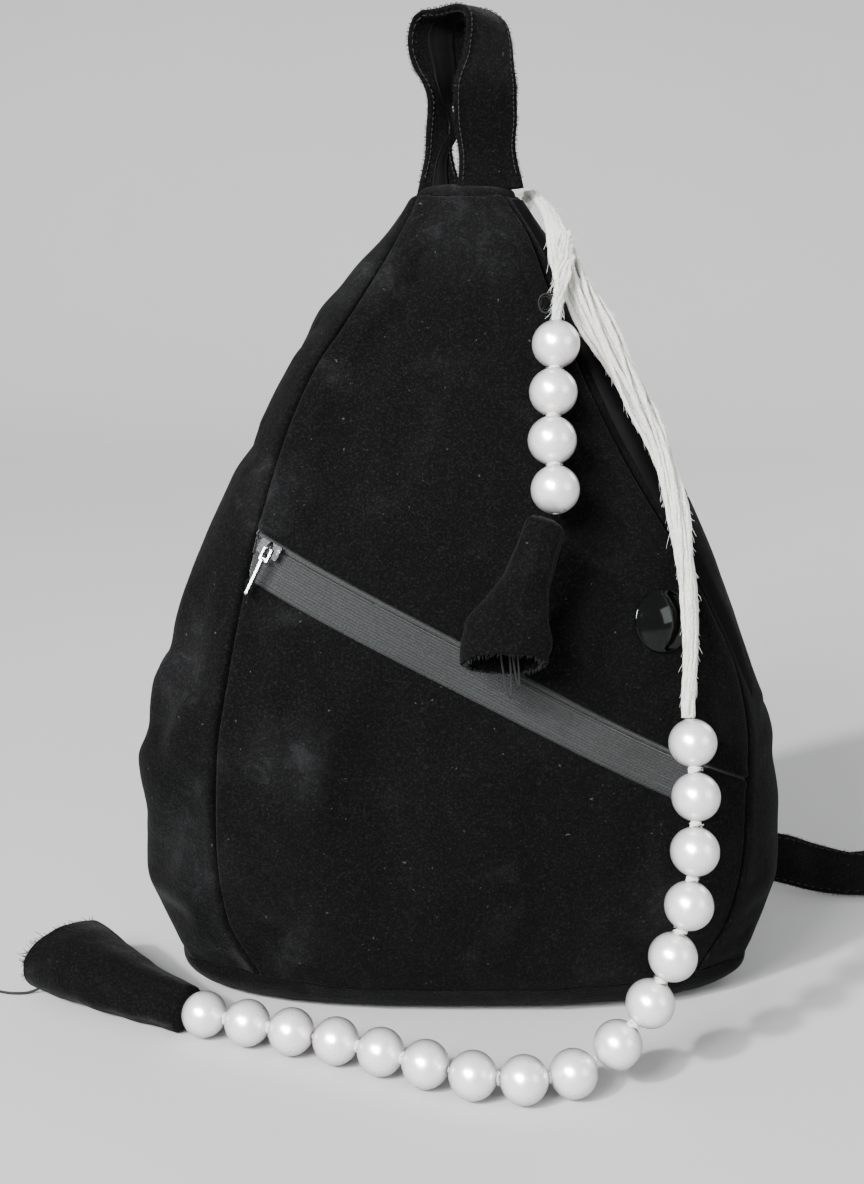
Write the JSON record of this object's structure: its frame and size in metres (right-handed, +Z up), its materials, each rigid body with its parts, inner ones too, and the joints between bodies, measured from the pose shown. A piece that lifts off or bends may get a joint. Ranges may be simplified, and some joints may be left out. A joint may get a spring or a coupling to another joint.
{
  "type": "evening bag",
  "caption": "Black velvet teardrop evening bag with a grab loop, slanted zip pocket, snap-closed mouth, shoulder strap and yarn-hung pearl strings ending in tassels.",
  "frame": {"origin": "centre of the flat base, on the floor the bag stands on", "axes": "+Z up, -Y out of the front face with the zip, +X towards the wearer's right as seen in front view, the mouth side"},
  "size_m": [0.4014, 0.1956, 0.349],
  "materials": {
    "velvet": "black velvet with a soft sheen",
    "satin": "smooth black satin",
    "wadding": "soft wadding",
    "board": "matte",
    "zip_tape": "ribbed woven tape",
    "zip_plastic": "matte",
    "dark_metal": "gloss black",
    "pull_metal": "bright worn edge",
    "snap_metal": "polished dark nickel",
    "yarn": "fuzzy spun yarn",
    "black_thread": "matte thread",
    "pearl": "pearlescent coating"
  },
  "bodies": {
    "bag": {"front_upper_panel": "velvet", "front_lower_panel": "velvet", "back_panel": "velvet", "gusset_left": "velvet", "gusset_right": "velvet", "base_panel": "velvet", "top_panel": "velvet", "mouth_facing": "satin", "back_wadding": "wadding", "front_wadding": "wadding", "base_board": "board", "lining_front": "satin", "lining_back": "satin", "lining_left": "satin", "lining_right": "satin", "pocket_bag": "satin", "zip_tape_upper": "zip_tape", "zip_tape_lower": "zip_tape", "zip_coils": "zip_plastic", "zip_stops": "dark_metal", "snap_stud": "snap_metal", "snap_back_plate": "snap_metal", "strap_tab_top": "velvet", "strap_tab_bottom": "velvet", "yarn_knot": "yarn", "thread_loop": "black_thread"},
    "zip_slider": {"zip_slider": "dark_metal"},
    "zip_pull": {"zip_pull": "pull_metal"},
    "mouth_flap": {"mouth_flap": "velvet", "mouth_flap_lining": "satin", "snap_cap": "snap_metal", "snap_socket": "snap_metal"},
    "grab_loop": {"grab_loop": "velvet", "grab_loop_satin": "satin"},
    "shoulder_strap": {"shoulder_strap": "velvet"},
    "short_strand": {"yarn_short": "yarn", "short_pearls": "pearl", "short_cord": "yarn", "short_tassel": "velvet", "short_tassel_core": "black_thread"},
    "long_yarn": {"yarn_long": "yarn"},
    "hanging_pearls": {"hanging_pearls": "pearl", "hanging_cord": "yarn"},
    "floor_pearls_a": {"floor_a_pearls": "pearl", "floor_a_cord": "yarn"},
    "floor_pearls_b": {"floor_b_pearls": "pearl", "floor_b_cord": "yarn"},
    "floor_pearls_c": {"floor_c_pearls": "pearl", "floor_c_cord": "yarn"},
    "long_tassel": {"long_tassel": "velvet", "long_tassel_core": "black_thread"}
  },
  "joints": [
    {"name": "slider_travel", "type": "hinge", "parent": "bag", "child": "zip_slider", "pos_m": [0.00068, 0.24783, 0.08779], "axis": [0.4692, 0.1431, 0.8714], "range_deg": [0, 26.9]},
    {"name": "pull_lift", "type": "hinge", "parent": "zip_slider", "child": "zip_pull", "pos_m": [-0.06666, -0.03712, 0.17085], "axis": [-0.8763, 0.3137, 0.3657], "range_deg": [0, 95]},
    {"name": "mouth_open", "type": "hinge", "parent": "bag", "child": "mouth_flap", "pos_m": [0.0518, -0.0523, 0.118], "axis": [0.0571, -0.2553, -0.9652], "range_deg": [0, 28]},
    {"name": "loop_fold", "type": "hinge", "parent": "bag", "child": "grab_loop", "pos_m": [0, 0.0195, 0.29], "axis": [1, 0, 0], "range_deg": [-20, 45]},
    {"name": "strap_swing", "type": "hinge", "parent": "bag", "child": "shoulder_strap", "pos_m": [0.098, 0.0357, 0.022], "axis": [0.3645, -0.0495, -0.9299], "range_deg": [0, 20]},
    {"name": "short_strand_swing", "type": "hinge", "parent": "bag", "child": "short_strand", "pos_m": [0.031, -0.009, 0.265], "axis": [-1, 0, 0], "range_deg": [0, 20]},
    {"name": "long_yarn_lift", "type": "hinge", "parent": "bag", "child": "long_yarn", "pos_m": [0.0265, 0.03, 0.284], "axis": [-1, 0, 0], "range_deg": [0, 9]},
    {"name": "pearl_swing", "type": "hinge", "parent": "long_yarn", "child": "hanging_pearls", "pos_m": [0.07319, -0.05697, 0.11937], "axis": [-1, 0, 0], "range_deg": [0, 15]},
    {"name": "floor_level", "type": "hinge", "parent": "hanging_pearls", "child": "floor_pearls_a", "pos_m": [0.04136, -0.08814, 0.01201], "axis": [-1, 0, 0], "range_deg": [-16, 0]},
    {"name": "floor_curl", "type": "hinge", "parent": "floor_pearls_a", "child": "floor_pearls_b", "pos_m": [-0.0064, -0.08808, 0.00799], "axis": [0, 0, 1], "range_deg": [0, 14]},
    {"name": "floor_curl_next", "type": "hinge", "parent": "floor_pearls_b", "child": "floor_pearls_c", "pos_m": [-0.05234, -0.06813, 0.008], "axis": [0, 0, 1], "range_deg": [0, 14.5]},
    {"name": "tassel_curl", "type": "hinge", "parent": "floor_pearls_c", "child": "long_tassel", "pos_m": [-0.09891, -0.04945, 0.008], "axis": [0, 0, 1], "range_deg": [0, 14.5]}
  ],
  "couplings": [
    {"joint": "long_yarn_lift", "follows": "mouth_open", "ratio": 0.3},
    {"joint": "floor_level", "follows": "pearl_swing", "ratio": -1},
    {"joint": "floor_curl_next", "follows": "floor_curl", "ratio": 1},
    {"joint": "tassel_curl", "follows": "floor_curl", "ratio": 1}
  ]
}
